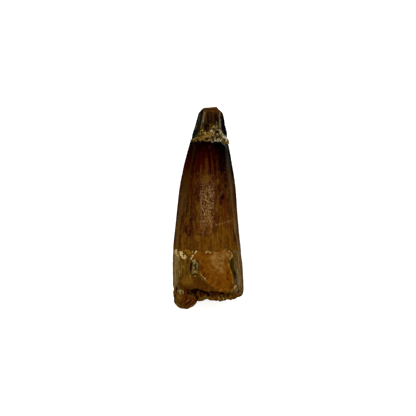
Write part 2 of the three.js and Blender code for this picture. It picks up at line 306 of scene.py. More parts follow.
tooth = {
    "voxel": 0.23, "calm": 8,
    # heights and depths of what stands up from the surface or is sunk in it
    "relief": {
        "lumps": 0.07, "endLumps": 0.12, "endFine": 0.1, "slab": 0.14, "hollow": 0.3, "channel": 0.22,
        "step": 0.12, "footLumps": 0.18, "footFine": 0.14,
    },
    # the outline: places along the tooth, and how far its side stands out there from the solid's
    "leftSide": [(-33, 0.25), (-30.5, 0.1), (-29, 0), (-26.5, 0.1), (-23, 0), (-17, 0), (-15.2, 0.2),
                 (-13, 0), (2, 0), (8.5, 0.24), (14, 0.27), (18, 0.1), (21, 0)],
    "rightSide": [
        (-30, 0.1), (-26, 0.1), (-22, 0), (12, 0.1), (17, 0.05), (18.5, -0.1), (20.5, -0.3), (22.5, -0.4)],
    # the corner moves outward and along, the rim upward: place, reach, then how far
    "corner": (10.6, -28.4, 1.7, 0.15, -0.3),
    "rimUp": (0.2, -31, 1.9, 0.5),
    "enamelEdge": [
        (-12, -14), (-9, -14.1), (-6, -13.6), (-3, -14), (0, -14.4), (4, -14.3), (6, -13.3), (8, -13.9),
        (12, -14.4)],
    "slab": [
        (-4.5, -14.7), (-3.6, -13.6), (-1.6, -13.9), (1, -13.7), (3.6, -13.4), (5.7, -13.2), (7, -14),
        (7.6, -15), (7.6, -16.3), (6.8, -17.6), (7.3, -19.6), (8, -22.1), (8.3, -24.7), (8.1, -26.4),
        (7.5, -27.2), (4.5, -27.3), (1.6, -27), (0.5, -25.5), (-1, -23.8), (-2.3, -22.1), (-3, -21.3),
        (-3, -19.6), (-2.8, -18.2), (-3.4, -17.2), (-4.5, -17.1), (-5.2, -16.3), (-4.9, -15.5)],
    "flakeHollow": [
        (-5.2, -17.3), (-3.15, -17.3), (-2.9, -18.3), (-2.95, -19.6), (-3.2, -20.5), (-3.15, -21.5),
        (-3.7, -21.95), (-5, -21.95), (-5.65, -21.4), (-5.7, -19.6), (-5.45, -18.3)],
    "sideChannel": [
        (7.7, -16.8), (7.9, -17.9), (7.9, -19.2), (8.4, -20.5), (8.9, -21.8), (9, -23.4), (9.3, -24.9)],
    # pale broken edges and crust: half width, rise, then the points of the run
    "paleRuns": [
        (0.4, 0.24, (-10.4, -14), (-10.2, -14.8), (-9.95, -15.5)), (0.2, 0.1, (-9.95, -15.7), (-9.75, -16.4)),
        (0.48, 0.3, (-8.7, -14.6), (-8.6, -15.3), (-8.2, -15.9), (-7.75, -16.3)),
        (0.36, 0.26, (-7.6, -16.3), (-7.15, -16)), (0.18, 0.2, (-7.5, -15.45), (-7.35, -15.6)),
        (0.22, 0.14, (-8.6, -14.5), (-8.1, -14)), (0.26, 0.18, (-3.9, -14.3), (-4.3, -14.95)),
        (0.14, 0.08, (-5, -13.9), (-5.2, -14.6)),
        (0.22, 0.18, (-4.95, -15.65), (-5.25, -16.2), (-5.35, -16.7)),
        (0.14, 0.1, (-5.2, -16.9), (-4.7, -17.15), (-4, -17)),
        (0.2, 0.1, (-0.7, -14.6), (-0.1, -14.4), (0.7, -14.35)),
        (0.2, 0.12, (5.65, -13.25), (6.35, -13.6), (6.95, -14.1)),
        (0.2, 0.1, (7.2, -14.35), (7.55, -14.9), (7.65, -15.65), (7.5, -16.5), (7.1, -17.1)),
        (0.2, 0.12, (-2.6, -21.5), (-2.1, -21.9), (-1.65, -22.6), (-0.95, -23.2)),
        (0.2, 0.12, (-1.05, -23.2), (-0.85, -23.3)),
        (0.22, 0.12, (8.95, -25.3), (8.9, -25.75), (8.6, -26.4), (8, -26.85)),
        (0.16, 0.1, (3.6, -28.6), (3.5, -29.6)), (0.24, 0.1, (4.4, -28.55), (5, -29.45))],
    "goldRuns": [
        (0.34, 0.12, (-7.8, -14.05), (-7.15, -13.9), (-6.25, -14.05), (-6, -14.7), (-6.3, -15.35),
         (-6.7, -15.65)),
        (0.3, 0.08, (-6.85, -14.9), (-6.75, -14.95)), (0.2, 0.05, (-3.75, -20.3), (-3.5, -21)),
        (0.2, 0.08, (6.6, -18.25), (7.05, -19.55), (7.4, -20.7), (7.7, -22), (8.05, -23.3), (8.2, -24.75)),
        (0.12, 0.05, (-0.65, -23.8), (0.15, -24.55), (1.05, -25.2))],
    # grey-green flecks in the hollow and along the channel
    "greyRuns": [
        (0.22, 0.12, (-4.95, -18.85), (-4.75, -19.75), (-4.4, -20.4), (-4.25, -21.2)),
        (0.2, 0.12, (-3.9, -17.85), (-3.5, -18.7), (-3.7, -19.55)), (0.2, 0.1, (-5, -17.55), (-4.4, -17.6)),
        (0.12, 0.06, (-4.6, -18.15), (-4.3, -18.6)), (0.1, 0.06, (-3.05, -18.05), (-3, -18.9)),
        (0.4, 0.14, (-9.1, -26.9), (-9, -27.5)), (0.22, 0.12, (-9.75, -27.3), (-8.4, -27.1)),
        (0.2, 0.12, (-9.05, -27.4), (-9.2, -28.2)), (0.14, 0.08, (-8.2, -27.5), (-8.15, -27.9))],
    # gaps and pits, sunk and painted near black as their shadow: half width, depth, then the points of the
    # run
    "pitShadowRuns": [
        (0.3, 0.5, (-6.6, -26.9), (-6.25, -27.65)), (0.3, 0.6, (-6, -27.05), (-5.6, -28)),
        (0.5, 0.9, (-5.2, -27.2), (-4.35, -26.8), (-3.95, -27.05)),
        (0.34, 0.8, (-4.7, -27.65), (-4.05, -27.8)), (0.36, 0.8, (-3.6, -26.6), (-2.45, -26.85)),
        (0.34, 0.8, (-2.55, -27.2), (-1.65, -27.3), (-0.8, -27.4)),
        (0.3, 0.7, (-0.65, -27.55), (0.05, -27.9), (0.2, -28.5)), (0.22, 0.5, (-2.45, -28), (-2.3, -28.7)),
        (0.2, 0.4, (-1.3, -27.75), (-1.45, -28.3)), (0.26, 0.5, (-4.3, -28.5), (-3.4, -29.2)),
        (0.36, 0.8, (1, -27.4), (2.5, -27.7)), (0.34, 0.7, (2.9, -27.55), (4.05, -27.7)),
        (0.4, 0.8, (4.05, -27.8), (5, -27.9)), (0.16, 0.3, (6.05, -27.8), (6.85, -27.95)),
        (0.14, 0.2, (7.5, -28.35), (8, -28.4)), (0.14, 0.2, (1.3, -28.85), (1.65, -28.95)),
        (0.16, 0.2, (5, -28.85), (5.1, -29)), (0.24, 0.3, (-10.25, -26.1), (-10.15, -26.7)),
        (0.2, 0.3, (-5.15, -21.7), (-4.25, -21.65), (-3.45, -21.85)),
        (0.2, 0.2, (-3.5, -17.5), (-3.25, -17.75)),
        (0.26, 0.3, (-5.4, -17.95), (-5.55, -19.25), (-5.75, -20.5), (-5.6, -21.35)),
        (0.14, 0.15, (-4.1, -18.6), (-4.25, -19.4)), (0.18, 0.15, (-3.35, -17.2), (-2.95, -18.2)),
        (0.2, 0.15, (-5.15, -17.9), (-5.3, -18.9)), (0.2, 0.15, (-3.3, -20), (-3.5, -20.5)),
        (0.16, 0.1, (-4.75, -16.4), (-4.7, -16.6)), (0.14, 0.08, (-0.35, -14.95), (0.15, -14.95)),
        (0.16, 0.1, (-1.45, -21.35), (-1.35, -21.8)), (0.16, 0.1, (-2, -22.2), (-1.9, -22.5)),
        (0.14, 0.08, (6.3, -20.9), (6.35, -21.1)), (0.2, 0.2, (7.65, -17.9), (7.75, -18.9), (7.95, -19.75)),
        (0.3, 0.24, (8.65, -21), (8.95, -21.8)), (0.14, 0.1, (8.9, -22.5), (9.1, -23.4)),
        (0.16, 0.1, (10.1, -26.9), (9.9, -27.7)), (0.2, 0.12, (-7.35, -14.8), (-7.25, -14.9))],
    # stripes down the two sides, a painted reflection of the white floor: place along, place across, half
    # width
    "ashen": [
        (-13.4, 10.3, 0.39), (-11.1, 9.9, 0.39), (-7.9, 9.2, 0.39), (-4.6, 8.7, 0.39), (-0.7, 8.3, 0.42),
        (2.6, 8, 0.46), (5.8, 7.7, 0.49), (8.4, 7.3, 0.52), (10, 7.15, 0.6), (14, 6.75, 0.6),
        (18, 6.35, 0.42), (20, 6.05, 0.36), (21.4, 5.5, 0.4)],
    "olive": [
        (-13.2, -10.3, 0.4), (-9.3, -10, 0.4), (-5.6, -9.6, 0.4), (1, -8.6, 0.4), (3.9, -8.1, 0.5),
        (7.6, -7.4, 1), (10.4, -6.65, 0.8), (13.6, -5.6, 0.4), (16.5, -5, 0.35), (19.6, -4.5, 0.35),
        (21, -4.8, 0.3)],
    # soft marks: runs (half width, share, points) and spots (x, y, half width, half height, share)
    "shades": [
        (0.22, 0.85, (0.3, 19), (0.35, 17.4), (0.7, 14), (0.85, 11.2)),
        (0.18, 0.85, (2, 18.2), (1.95, 14.4), (2.2, 13.2), (2.3, 10.6)),
        (0.26, 0.8, (-4.2, 18.5), (-4.8, 15.4), (-5.3, 12.9), (-5.4, 11)), (1.3, 1, (3.3, 20.5), (4.6, 20)),
        (0.95, 0.85, (4.5, 18.2), (4.7, 15), (4.8, 12.6)), (0.3, 0.8, (2.5, 15.6), (2.55, 15)),
        (0.42, 0.62, (8.45, -7.2), (8.65, -9.2), (8.95, -11), (9.3, -12)),
        # the run along the break, at y 21.7 to 21.9, is a painted shadow line
        (0.28, 0.35, (-5.6, 4.6), (-5.5, 1.6)), (0.45, 0.9, (-5.8, 21.7), (7, 21.9)),
        (4.8, 3.5, 0.55, 0.9, 0.8), (4.2, 3.1, 0.45, 0.7, 0.5), (4.2, 1.7, 0.45, 1, 0.5),
        (5.75, 7.1, 0.42, 0.7, 0.9), (-7.05, -7.5, 0.4, 0.9, 0.85), (-5.75, -7.9, 0.36, 1, 0.6),
        (-6.4, -8.8, 0.9, 0.4, 0.6), (-6.5, -6, 0.6, 1, 0.35), (-4.1, -5.6, 0.3, 0.8, 0.4),
        (-5.8, 0.4, 0.4, 0.4, 0.5), (-4.7, -2.4, 0.35, 0.5, 0.4), (-5.3, -3.7, 0.5, 1.3, 0.55),
        (-3.3, 3.3, 0.28, 0.35, 0.75), (-3.4, 6.3, 0.3, 0.5, 0.6), (2.2, -3.5, 0.35, 0.5, 0.6),
        (2.9, -4.5, 0.3, 0.5, 0.5), (-6.9, 3, 0.4, 4, 0.35), (1.7, 9, 0.3, 1, 0.4), (3.6, 6.4, 0.3, 1.2, 0.4),
        (-2.6, -8.6, 0.9, 0.5, 0.35), (5.2, -5, 0.7, 0.6, 0.35)],
    # a dark outer edge down the right flank: painted shade
    "rims": [
        (0.28, 0.95, (6.75, 20.2), (7.3, 16.5), (7.75, 13), (8.1, 10.5)), (0.12, 0.5, (8.3, 8), (8.9, 2)),
        (0.12, 0.6, (5.9, 19.5), (6.3, 16.6)), (0.1, 0.5, (6.6, 14.8), (7.2, 11)),
        (0.16, 0.6, (9.3, -7), (9.7, -9.6), (10.1, -12.2))],
    # golden streaks and spots; the wide runs down the middle of the upper crown are a painted highlight
    "glows": [
        (0.5, 0.6, (-0.5, 16), (-0.5, 14), (-0.8, 11.5), (-0.6, 9.5)), (0.25, 0.25, (-0.6, 18.4), (-0.5, 16)),
        (0.16, 0.7, (0.95, 18.2), (1.15, 16), (1.55, 14), (1.9, 10.6)), (0.16, 0.7, (2.55, 16.8), (3, 16.5)),
        (0.16, 0.65, (2.9, 15.4), (3, 13.5), (3.1, 11)), (0.16, 0.3, (-2.2, 13.5), (-2.6, 10)),
        (0.14, 0.35, (-3.4, 13), (-3.6, 10.5)), (0.16, 0.4, (3.9, 12), (4.1, 9.5)),
        (0.16, 0.4, (-4.2, 11.5), (-4.4, 9)), (3.3, -9, 0.8, 1, 0.5), (-3.5, -9.7, 1.4, 0.9, 0.5),
        (1.6, -9.5, 0.7, 0.9, 0.4), (3.35, -0.8, 0.5, 0.8, 0.5), (1.8, 0, 0.4, 0.8, 0.4),
        (3.1, 8.6, 0.5, 0.9, 0.5), (6.4, -8, 0.5, 1.3, 0.5), (4.1, -5.2, 0.8, 0.6, 0.3),
        (-0.6, 9.6, 1.4, 1.6, 0.5), (2.6, -10.8, 1.4, 1.2, 0.25)],
    "reds": [
        (-3.2, 2.9, 0.6, 1.4, 0.6), (-4.5, -2.4, 1.1, 1.2, 0.6), (2.4, -3.5, 0.9, 1.5, 0.6),
        (-3.7, -6.3, 0.8, 1.6, 0.7), (5.25, -1.3, 0.8, 3, 0.6), (-4.5, 5.8, 1, 3, 0.35),
        (-5.9, -6.9, 1.3, 2.2, 0.5), (2.6, 2.9, 0.6, 1.7, 0.6), (2.3, -7.4, 0.6, 0.6, 0.5),
        (-7, -10.2, 0.5, 0.9, 0.6), (6, -11.5, 1, 1.5, 0.3), (4.8, 2.6, 1.3, 2.4, 0.6),
        (3.9, 6.5, 1.1, 1.8, 0.4), (-1.3, -12.3, 3.4, 0.8, 0.3), (-4.6, 0.1, 0.7, 0.8, 0.4),
        (-2.8, 5.7, 0.6, 1, 0.35)],
    # red-brown spots; the long run along the row of pits is a painted shade
    "rusts": [
        (0.5, 0.5, (-6.6, -27.7), (-2, -28), (6, -28.4)), (-2.1, -19.4, 0.9, 1.2, 0.5),
        (-1.3, -21.5, 0.8, 1, 0.5), (-0.8, -22.8, 0.6, 0.7, 0.35), (6.45, -23.2, 0.45, 0.4, 0.8),
        (6.3, -21, 0.4, 0.5, 0.5), (6, -19.6, 0.5, 0.6, 0.3), (3.5, -24.6, 0.9, 0.8, 0.4),
        (4.1, -25.9, 0.9, 0.6, 0.3), (7.6, -26.1, 0.9, 0.8, 0.55), (-1.2, -26.2, 1.5, 0.4, 0.5),
        (-7.2, -26.2, 0.8, 0.4, 0.5), (9.2, -27.9, 1.3, 0.6, 0.55)],
    "chips": [
        (0.3, 1, (1.3, 21.75), (2.1, 22)), (0.14, 0.9, (3.3, 21.75), (4.6, 21.5), (5.6, 20.65), (6.3, 19.9)),
        (-4.1, 21.85, 0.28, 0.2, 0.45), (-3.4, 21.6, 0.24, 0.2, 0.4), (-2.6, 21.5, 0.2, 0.18, 0.3),
        (0.6, 19.95, 0.34, 0.3, 0.5)],
    "seam": [(-12.2, -26), (-9.4, -26.5), (-6.5, -26.7), (-2, -27), (1.5, -27.5), (6, -27.8), (9.5, -28.3),
             (12.2, -28.6)],
    "lobe": (-7.3, -28.7, 4.4, 4.9),
    # painted highlight on the slab: the spot, how ragged and how soft it is, and its share
    "slabHighlights": [
        (2.9, -17.2, 2.6, 3.2, 0.35, 0.9, 1), (4.2, -19.6, 1.2, 1.8, 0.35, 0.9, 0.8),
        (5.6, -15.2, 1.6, 1.6, 0.3, 0.8, 1)],
    "footSpot": (-6.8, -23.9, 2.2, 1.6),
    # a hair crack: a place on it, then its rise and run
    "crack": (3.2, -5.4, 0.258, 0.966),
    # tones at places along the tooth
    "tones": {
        "middle": [(-15, "#5c3507"), (-9, "#532d05"), (-3, "#462203"), (4, "#3e1b03"), (10, "#3a1302"),
                   (13, "#320702"), (17, "#220201"), (20.5, "#0e0101")],
        "left": [(-15, "#543004"), (-9, "#3e1d04"), (-3, "#3b1b03"), (4, "#3e1e03"), (9, "#340e02"),
                 (13, "#2a0201"), (18, "#180101"), (21, "#060101")],
        "right": [(-15, "#5e3704"), (-9, "#5a3206"), (-3, "#4e2804"), (4, "#3c1a03"), (9, "#300e02"),
                  (13, "#1a0301"), (17, "#080101"), (21, "#010101")],
        "golden": [(-13, "#704a0a"), (0, "#624006"), (8, "#503204"), (14, "#3c1c02"), (19, "#240402")],
        "ruddy": [(-13, "#5a240a"), (0, "#461206"), (8, "#3c0c04"), (14, "#340203"), (19, "#1c0103")],
        "glow": [(-12, "#76500e"), (0, "#6a4208"), (9, "#6c460a"), (12, "#5c3604"), (15, "#4e2404"),
                 (19, "#340c02")],
        "gloom": [(10, "#180104"), (16, "#0c0102"), (19, "#010101")],
        "ashen": [(-13, "#6a5430"), (-6, "#66502e"), (0, "#523a18"), (6, "#4a381c"), (12, "#38321e"),
                  (15, "#2c2e22"), (18, "#20241e"), (21, "#2a2c28")],
        "olive": [(-13, "#5c4212"), (-5, "#5a401c"), (1, "#4a3a20"), (6, "#3e2a06"), (10, "#3a2002"),
                  (14, "#281402"), (20, "#201408")],
    },
}


def trimTooth(places, flow):  # moves the points sideways and along, out to the outline
    x, y = places.T[:2]  # views, so what is added to them is added to the places
    x -= sideShift(tooth["leftSide"], y, -flow[:, 0])
    x += sideShift(tooth["rightSide"], y, flow[:, 0])
    cornerX, cornerY, reach, outward, along = tooth["corner"]
    near = ease(1.0, 0.0, np.hypot(x - cornerX, y - cornerY) / reach)
    x += outward * near
    y += along * near
    rimX, rimY, reach, upward = tooth["rimUp"]
    y += upward * ease(1.0, 0.0, abs(x - rimX) / reach) * ease(rimY + 3.0, rimY + 0.5, y)


def makeTooth():
    piece = bodyOf("tooth", "toothBody", tooth)
    places, normals = pointsOf(piece)
    flow = flowOf(places)
    trimTooth(places, flow)
    x, y, z = places.T
    front = ease(0.0, 0.35, normals[:, 2])  # 1 on the upper face, 0 underneath
    wander = swell(x, y, z, 0.9, 3.0)
    wx, wy = x + 0.2 * wander, y + 0.2 * swell(x, y, z, 0.8, 7.0)
    fine = swell(x, y, z, 0.6, 11.0)
    lumps = swell(x, y, z, 1.5, 5.0)

    # the enamel's edge, the seam and the lobe wander more on the flanks, by swells that don't change along y
    edge = follow(tooth["enamelEdge"], x) + 0.35 * swell(x, z, z, 1.4, 2.0)
    edge += (2.6 * swell(z, z, x, 3.0, 9.0) + 1.3 * swell(z, x, z, 1.1, 4.0)) * (1 - front)
    root = edge - y  # how far below the enamel's edge
    aside = (1 - front) * (swell(z, x, z, 2.5, 6.0) + 0.5 * swell(z, x, z, 1.0, 13.0))
    seam = follow(tooth["seam"], x) - y + 3.0 * aside  # how far below the seam
    below = ease(-0.2, 0.3, seam)
    lobe = ovalFrom(tooth["lobe"], x + 3.5 * aside, y) * ease(-29.0, -30.5, y)
    lobe += ease(-6.5, -7.5, x + 2.0 * aside) * below
    pale, paleRise = nearestRun(tooth["paleRuns"], wx, wy)
    gold, goldRise = nearestRun(tooth["goldRuns"], wx, wy)
    grey, greyRise = nearestRun(tooth["greyRuns"], wx, wy)
    dark, darkDepth = nearestRun(tooth["pitShadowRuns"], wx + 0.14 * fine, wy + 0.14 * fine)
    slab = insideOf(tooth["slab"], wx, wy)
    hollow = insideOf(tooth["flakeHollow"], wx, wy)
    channel = 0.9 - nearLine(tooth["sideChannel"], wx, wy)

    relief = tooth["relief"]
    endFace = ease(0.6, 0.9, -normals[:, 1])
    height = relief["lumps"] * lumps * ease(0.0, 0.6, root)
    height += (relief["endLumps"] * lumps + relief["endFine"] * fine) * endFace
    height += front * relief["slab"] * ease(-0.1, 0.15, slab)
    height -= front * relief["hollow"] * ease(-0.1, 0.3, hollow)
    height -= front * relief["channel"] * ease(0.0, 0.7, channel)
    for inside, rise in ((pale, paleRise), (gold, goldRise), (grey, greyRise)):
        height += front * rise * ease(-0.12, 0.12, inside) * (1 + 0.8 * fine)
    height -= front * darkDepth * ease(-0.15, 0.3, dark)
    height += below * (relief["footLumps"] * lumps + relief["footFine"] * fine)
    step = ease(-0.25, 0.05, root) * ease(0.5, 0.1, root) * (1 - front * ease(-0.1, 0.2, pale))
    height -= relief["step"] * step
    raisePoints(piece, places, normals, height)

    under = (1 - front) * 3.0
    ashen, olive = stripe(tooth["ashen"], x, y), stripe(tooth["olive"], x, y)
    keepFields(piece, flow=flow, root=root, seam=seam, lobe=lobe, paleRise=paleRise)
    keepFields(piece, pale=pale - under, gold=gold - under, grey=grey - under, dark=dark - under)
    keepFields(piece, slab=slab - under, hollow=hollow - under, channel=channel - under)
    keepFields(piece, ashen=ashen - under, olive=olive - under)
    keepMarks(piece, tooth, ("shades", "rims", "glows", "rusts", "chips"), x, y, front)
    keepMarks(piece, tooth, ("reds",), x + 0.3 * wander, y, front)
    return piece


def paintEnamel(b, flow, across, streak, band, fleck, speck, crumb, wide):
    # near black at the break, red-brown under it, golden by the root
    tones = tooth["tones"]
    height, side = b.y + wide * 0.8 + band * 0.9, across + band * 0.8
    tone = b.mix(side.ease(-5.5, -1.5), b.ramp(height, tones["left"]), b.ramp(height, tones["middle"]))
    tone.lay(side.ease(1.5, 6.0), b.ramp(height, tones["right"]))
    ruddy, gloom = b.ramp(b.y, tones["ruddy"]), b.ramp(b.y, tones["gloom"])
    varied = b.grain(flow, 1.1, (1, 0.2, 1), 3.0, shift=12.0) + fleck * 0.4
    lively = b.y.ease(17.0, 8.0)
    tone.lay(varied.ease(-0.2, 0.8) * (0.1 + lively * 0.55), b.ramp(b.y, tones["golden"]))
    tone.lay(varied.ease(-0.2, -1.0) * 0.5, ruddy)
    # golden streaks and spots, with a painted highlight down the middle of the upper crown
    tone.lay(b.field("glows") + streak * 0.12, b.ramp(b.y, tones["glow"]))
    reds = b.field("reds") * (1.0 + fleck * 0.5 + crumb * 0.3)
    tone.lay(reds.ease(0.05, 0.9) * 0.75, ruddy)
    tone.lay((fleck + streak * 0.3).ease(-0.55, -1.2) * 0.6, "#240206")
    patchy = 1.0 + fleck * 0.3 + speck * 0.2
    # dark stains, and along the break a painted shadow line
    tone.lay((b.field("shades") * patchy).ease(0.0, 0.95), gloom)
    tone = b.dim(tone, 1.0 + streak * 0.26 + speck * 0.24 + crumb * 0.12)
    tone.lay((crumb + speck * 0.5).ease(0.3, 1.3) * (0.04 + lively * 0.2), "#7c6a50")
    # a grey stripe down the right flank and an olive one down the left: painted reflections of the floor
    ashen = b.dim(b.ramp(b.y + streak, tones["ashen"]), 1.0 + streak * 0.3 + fleck * 0.2 + speck * 0.15)
    tone.lay((b.field("ashen") + streak * 0.16 + speck * 0.12).ease(-0.2, 0.2) * 0.9, ashen)
    # the right flank's dark outer edge: painted shade
    tone.lay((b.field("rims") * patchy).ease(0.0, 0.95), gloom)
    inLeftReflection = (b.field("olive") + streak * 0.14 + speck * 0.1).ease(-0.25, 0.25)
    tone.lay(inLeftReflection * 0.8, b.ramp(b.y, tones["olive"]))
    inChips = (b.field("chips") + speck * 0.2).ease(0.25, 0.75)
    tone.lay(inChips * 0.9, b.mix(speck.ease(-0.8, 0.8), "#3c3a30", "#86725e"))
    # darker towards the outermost flanks: painted shade
    return b.dim(tone, 1.0 - abs(across).ease(9.2, 9.9) * 0.55)


def paintRoot(b, across, hidden, streak, band, fleck, speck, crumb, blotch, wide):
    # ochre beside an orange slab, a beige flank, a browner foot, and the lobe and rim below the seam
    beyond = hidden * (wide * 1.6 + band * 1.2 + 1.2)
    ochre = b.mix(streak.ease(-0.9, 0.9), "#4a2e04", "#6e4e10")
    ochre.lay((streak + fleck + crumb * 0.5).ease(0.3, 1.4) * 0.75, "#8e6e26")
    ochre.lay((fleck + crumb * 0.6).ease(-0.5, -1.3) * 0.6, "#361c04")
    sandy = (b.x + blotch * 0.6 + beyond).ease(-9.0, -10.4) * (0.35 + streak.ease(-0.6, 0.8) * 0.6)
    ochre.lay(sandy * (1 - hidden * 0.6), "#8e7848")
    ochre.lay((speck + crumb * 0.5).ease(0.3, 1.3) * 0.3, "#8c7c5c")
    flank = b.mix(streak.ease(-0.7, 0.7), "#5a4118", "#826a44")
    flank.lay((streak * 0.6 + band).ease(0.1, 1.0) * 0.7, "#8c7a56")
    flank.lay((fleck + crumb * 0.5).ease(-0.5, -1.2) * 0.5, "#3c2810")
    flank.lay(hidden * 0.6, "#4a3210")
    tone = b.mix((b.x + blotch * 0.4 - beyond).ease(8.3, 9.2), ochre, flank)

    orange = b.mix(blotch.ease(-0.9, 0.9), "#683804", "#7a4a0a")
    orange.lay((blotch + fleck * 0.5).ease(0.3, 1.2) * 0.6, "#865810")
    orange.lay((crumb + fleck * 0.6).ease(-0.5, -1.4) * 0.65, "#54260a")
    # lighter patches on the slab: painted highlight
    broad, lower, upper = ((1.2 - b.spot(*spot) + blotch * ragged).ease(0.0, soft) * share
                           for *spot, ragged, soft, share in tooth["slabHighlights"])
    slabHighlightTone = b.mix((blotch + speck * 0.4).ease(-0.8, 0.8), "#80541c", "#967038")
    orange.lay(broad.most(lower).most(upper) * 0.85, slabHighlightTone)
    tone.lay((b.field("slab") + speck * 0.12).ease(-0.08, 0.12), orange)

    foot = (b.y + blotch * 0.5).ease(-21.9, -23.0) * (b.x * 0.72 + b.y + blotch * 0.3).ease(-24.3, -25.0)
    footTone = b.mix((b.spot(*tooth["footSpot"]) + blotch * 0.3).ease(1.3, 0.5), "#4a2804", "#704c12")
    tone.lay(foot * b.x.ease(-10.5, -9.0) * 0.85, footTone)
    rim = b.mix(blotch.ease(-0.7, 0.7), "#503a08", "#582a04")
    rim.lay((fleck + crumb).ease(0.4, 1.4) * 0.7, "#84702e")
    tone.lay((b.field("seam") + (speck + hidden * crumb * 3.0) * 0.12).ease(-0.1, 0.15), rim)
    lobe = b.mix((b.x + band).ease(-9.4, -6.4), "#5a3c0c", "#522004")
    lobe.lay((streak * 1.2 + band * 0.5).ease(-0.05, -0.6) * 0.9, "#300a02")
    lobe.lay((streak * 1.2 + crumb * 0.4 - band * 0.3).ease(0.2, 0.9) * 0.7, "#86642a")
    tone.lay(b.field("lobe").ease(-0.1, 0.3), lobe)
    # red-brown spots, and a painted shade along the row of pits
    tone.lay((b.field("rusts") * (1.0 + crumb * 0.4)).ease(0.1, 0.9), "#4a1402")
    tone = b.dim(tone, 1.0 + speck * 0.2 + crumb * 0.16 + fleck * 0.1)
    # darker towards the outermost flanks: painted shade
    return b.dim(tone, 1.0 - abs(across).ease(9.2, 9.95) * 0.45)


def paintTooth():
    b = Board("fossilTooth")
    flow = b.field("flow", vector=True)
    across, through = b.parts(flow)[::2]
    above, hidden = through.ease(-2.0, 2.0), 1 - through.ease(-2.0, 3.0)
    streak = b.grain(flow, 0.6, (1, 0.12, 1), 3.0)
    band = b.grain(flow, 1.7, (1, 0.1, 1), 3.0, shift=4.0)
    fleck = b.grain(flow, 0.75, (1, 0.4, 1), 3.0, shift=7.0)
    speck = b.grain(b.place, 0.52, detail=2.0)
    crumb = b.grain(b.place, 0.8, detail=3.0, rough=0.7, shift=6.0)
    blotch = b.grain(b.place, 1.5, detail=4.0, shift=9.0)
    wide = b.grain(b.place, 5.0, detail=3.0, shift=2.0)
    enamel = paintEnamel(b, flow, across, streak, band, fleck, speck, crumb, wide)
    rootTone = paintRoot(b, across, hidden, streak, band, fleck, speck, crumb, blotch, wide)
    root = b.field("root")
    rootEdge = root * (1 - hidden * 0.9) + hidden * (wide * 0.2 + streak * 0.12) + speck * 0.2
    tone = b.mix(rootEdge.ease(-0.12, 0.12), enamel, rootTone)

    # broken edges, crust and pits
    # dark olive down the channel beside the slab: its darkness is painted shade under the slab's raised edge
    channel = (b.field("channel") + speck * 0.2 + crumb * 0.1).ease(0.2, 0.5)
    gully = b.dim(b.mix(b.y.ease(-20.5, -24.0), "#2e280c", "#463e28"), 1.0 + speck * 0.35 + fleck * 0.2)
    tone.lay(channel * 0.9, gully)
    hollow = (b.field("hollow") + speck * 0.2).ease(-0.08, 0.15)
    tone.lay(hollow * 0.85, b.mix((fleck + crumb).ease(-0.8, 1.0), "#382c10", "#74602e"))
    grey = (b.field("grey") + speck * 0.12 + crumb * 0.08).ease(-0.1, 0.12)
    tone.lay(grey * 0.9, b.mix(speck.ease(-0.8, 0.8), "#5e5428", "#9c8e5c"))
    gold = (b.field("gold") + speck * 0.16 + crumb * 0.1).ease(-0.1, 0.12)
    tone.lay(gold * 0.85, b.mix((speck + crumb).ease(-0.8, 0.8), "#664206", "#9c6e12"))
    pale = (b.field("pale") + speck * 0.2 + crumb * 0.14).ease(-0.1, 0.14)
    bright = b.field("paleRise").ease(0.06, 0.24)  # the higher crumbs are the whiter ones
    crumbs = b.mix((speck + crumb * 0.8 + bright * 0.7).ease(-0.3, 1.3), "#86682a", "#dcbc7e")
    tone.lay(pale * (0.7 + bright * 0.26), crumbs)
    crackX, crackY, rise, run = tooth["crack"]
    crack = 0.1 - abs((b.x - crackX) * rise - (b.y - crackY) * run + blotch * 0.05)
    crack = crack.ease(-0.08, 0.06) * b.x.ease(1.9, 3.2) * b.x.ease(7.9, 7.2) * speck.ease(-0.4, 0.5) * above
    tone.lay(crack * 0.8, "#94744a")
    # near black in the gaps and pits, a little more towards the seam's row: painted shadow
    dark = b.field("dark") + b.y.ease(-25.5, -26.5) * 0.06 + speck * 0.12 + crumb * 0.08
    dark = dark.ease(-0.16, 0.08)
    tone.lay(dark * 0.92, "#0e0205")

    isRoot = root.ease(-0.2, 0.4)
    relief = streak * 0.2 + speck * 0.5 + crumb * (0.2 + isRoot * 0.5) + blotch * isRoot * 0.6
    roughness = 0.24 + streak * 0.03 + speck * 0.04 + isRoot * 0.2 + pale * 0.25 + dark * 0.2
    # a worn, glossy strip along the middle, dulled by pores
    height = b.y + band * 0.8
    crest = abs(b.x + 0.42 + band * 0.25)
    rubbed = height.ease(13.5, 4.5) * height.ease(-11.0, -3.0)
    rubbed = rubbed * (0.2 + crest.ease(2.6, 1.9) * (0.5 + crest.ease(0.3, 1.5) * 0.3))
    pores = b.grain(b.place, 0.46, detail=1.0, shift=1.0)
    polish = above * rubbed + (1 - above) * 0.35
    polish = polish * (pores + crumb * 0.3).ease(-0.28, 0.45) * (1 - isRoot * 0.6)
    gloss = {"Specular Tint": (1.0, 0.6, 0.24, 1.0), "Specular IOR Level": 0.47}
    return b.finish(tone, roughness, b.bump(relief, 0.03), polish, **gloss)


toothBody = makeTooth()
toothBody.data.materials.append(paintTooth())
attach(toothBody, "root")
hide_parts("tooth")
print("tooth made,", len(toothBody.data.polygons), "faces")


# the tip, its upper face flaked down to the dentine

